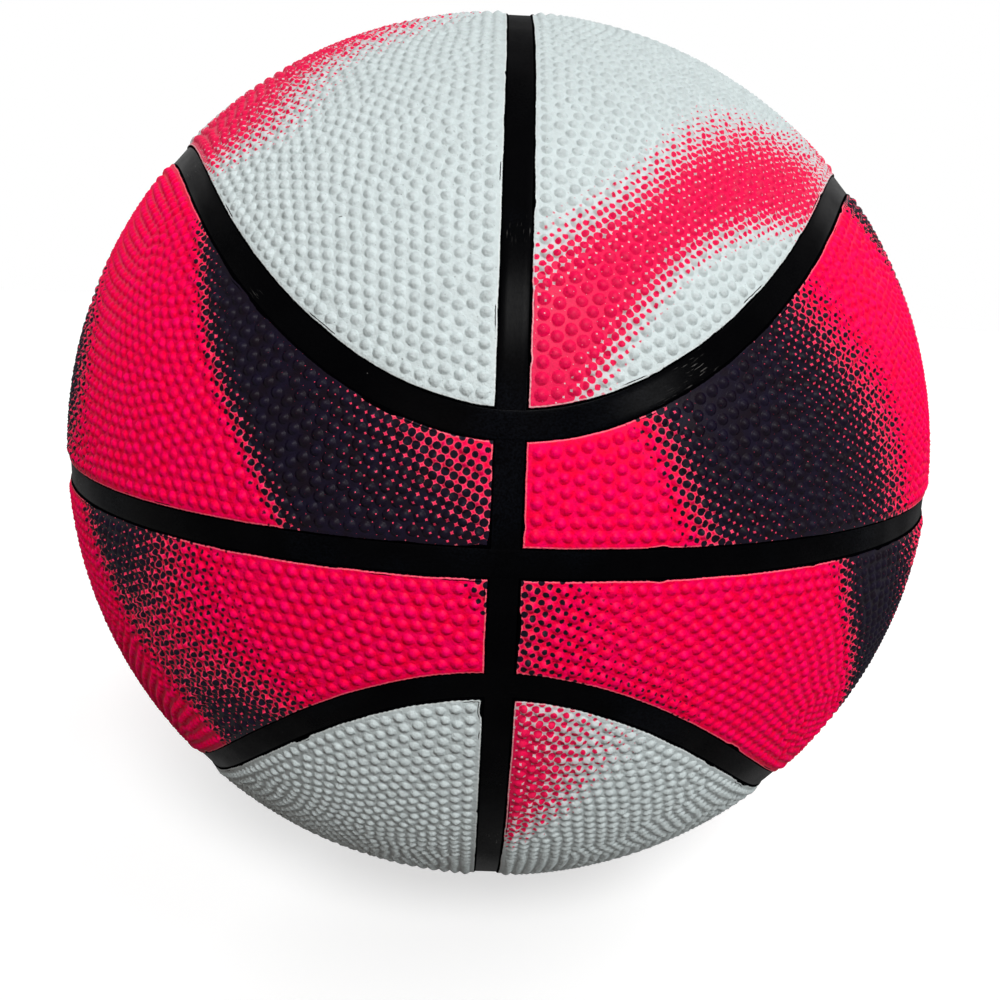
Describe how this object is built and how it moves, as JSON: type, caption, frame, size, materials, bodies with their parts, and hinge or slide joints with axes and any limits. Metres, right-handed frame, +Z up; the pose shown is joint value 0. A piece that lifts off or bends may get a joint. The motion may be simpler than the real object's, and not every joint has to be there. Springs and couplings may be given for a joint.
{
  "type": "basketball",
  "caption": "Size 7 basketball: white and pink-red pebbled rubber panels, black channels, wound carcass, air bladder and a push-in needle valve.",
  "frame": {"origin": "the ball's centre", "axes": "+Z up; the middle channel lies in the XY plane and the vertical channel in the YZ plane; the crossing of the two that the picture shows is on -Y"},
  "size_m": [0.2384, 0.2384, 0.2384],
  "materials": {
    "white_rubber": "matt, pebbled, off-white cover rubber with printed dots",
    "pink_rubber": "matt, pebbled, vivid pink-red cover rubber with printed dots",
    "channel_rubber": "smooth, semi-gloss black, brush painted",
    "carcass_rubber": "matt black base rubber",
    "nylon_yarn": "undyed wound yarn, latex dipped",
    "butyl_rubber": "satin black butyl",
    "seat_rubber": "satin black moulded rubber",
    "plug_rubber": "satin black soft rubber"
  },
  "bodies": {
    "ball": {"bladder": "butyl_rubber", "nylon_winding": "nylon_yarn", "carcass": "carcass_rubber", "valve_seat": "seat_rubber", "white_panel_upper_left": "white_rubber", "white_panel_upper_right": "white_rubber", "white_panel_lower_left": "white_rubber", "white_panel_lower_right": "white_rubber", "pink_panel_upper_left": "pink_rubber", "pink_panel_upper_right": "pink_rubber", "pink_panel_lower_left": "pink_rubber", "pink_panel_lower_right": "pink_rubber", "middle_channel": "channel_rubber", "upper_curved_channel": "channel_rubber", "lower_curved_channel": "channel_rubber", "front_upper_channel": "channel_rubber", "front_lower_channel": "channel_rubber", "back_upper_channel": "channel_rubber", "back_lower_channel": "channel_rubber", "top_channel": "channel_rubber", "bottom_channel": "channel_rubber"},
    "valve_plug": {"valve_plug": "plug_rubber"}
  },
  "joints": [
    {"name": "valve_plug_pull", "type": "slide", "parent": "ball", "child": "valve_plug", "axis": [-0.5606, 0.7716, 0.3007], "range_m": [0, 0.022]}
  ]
}
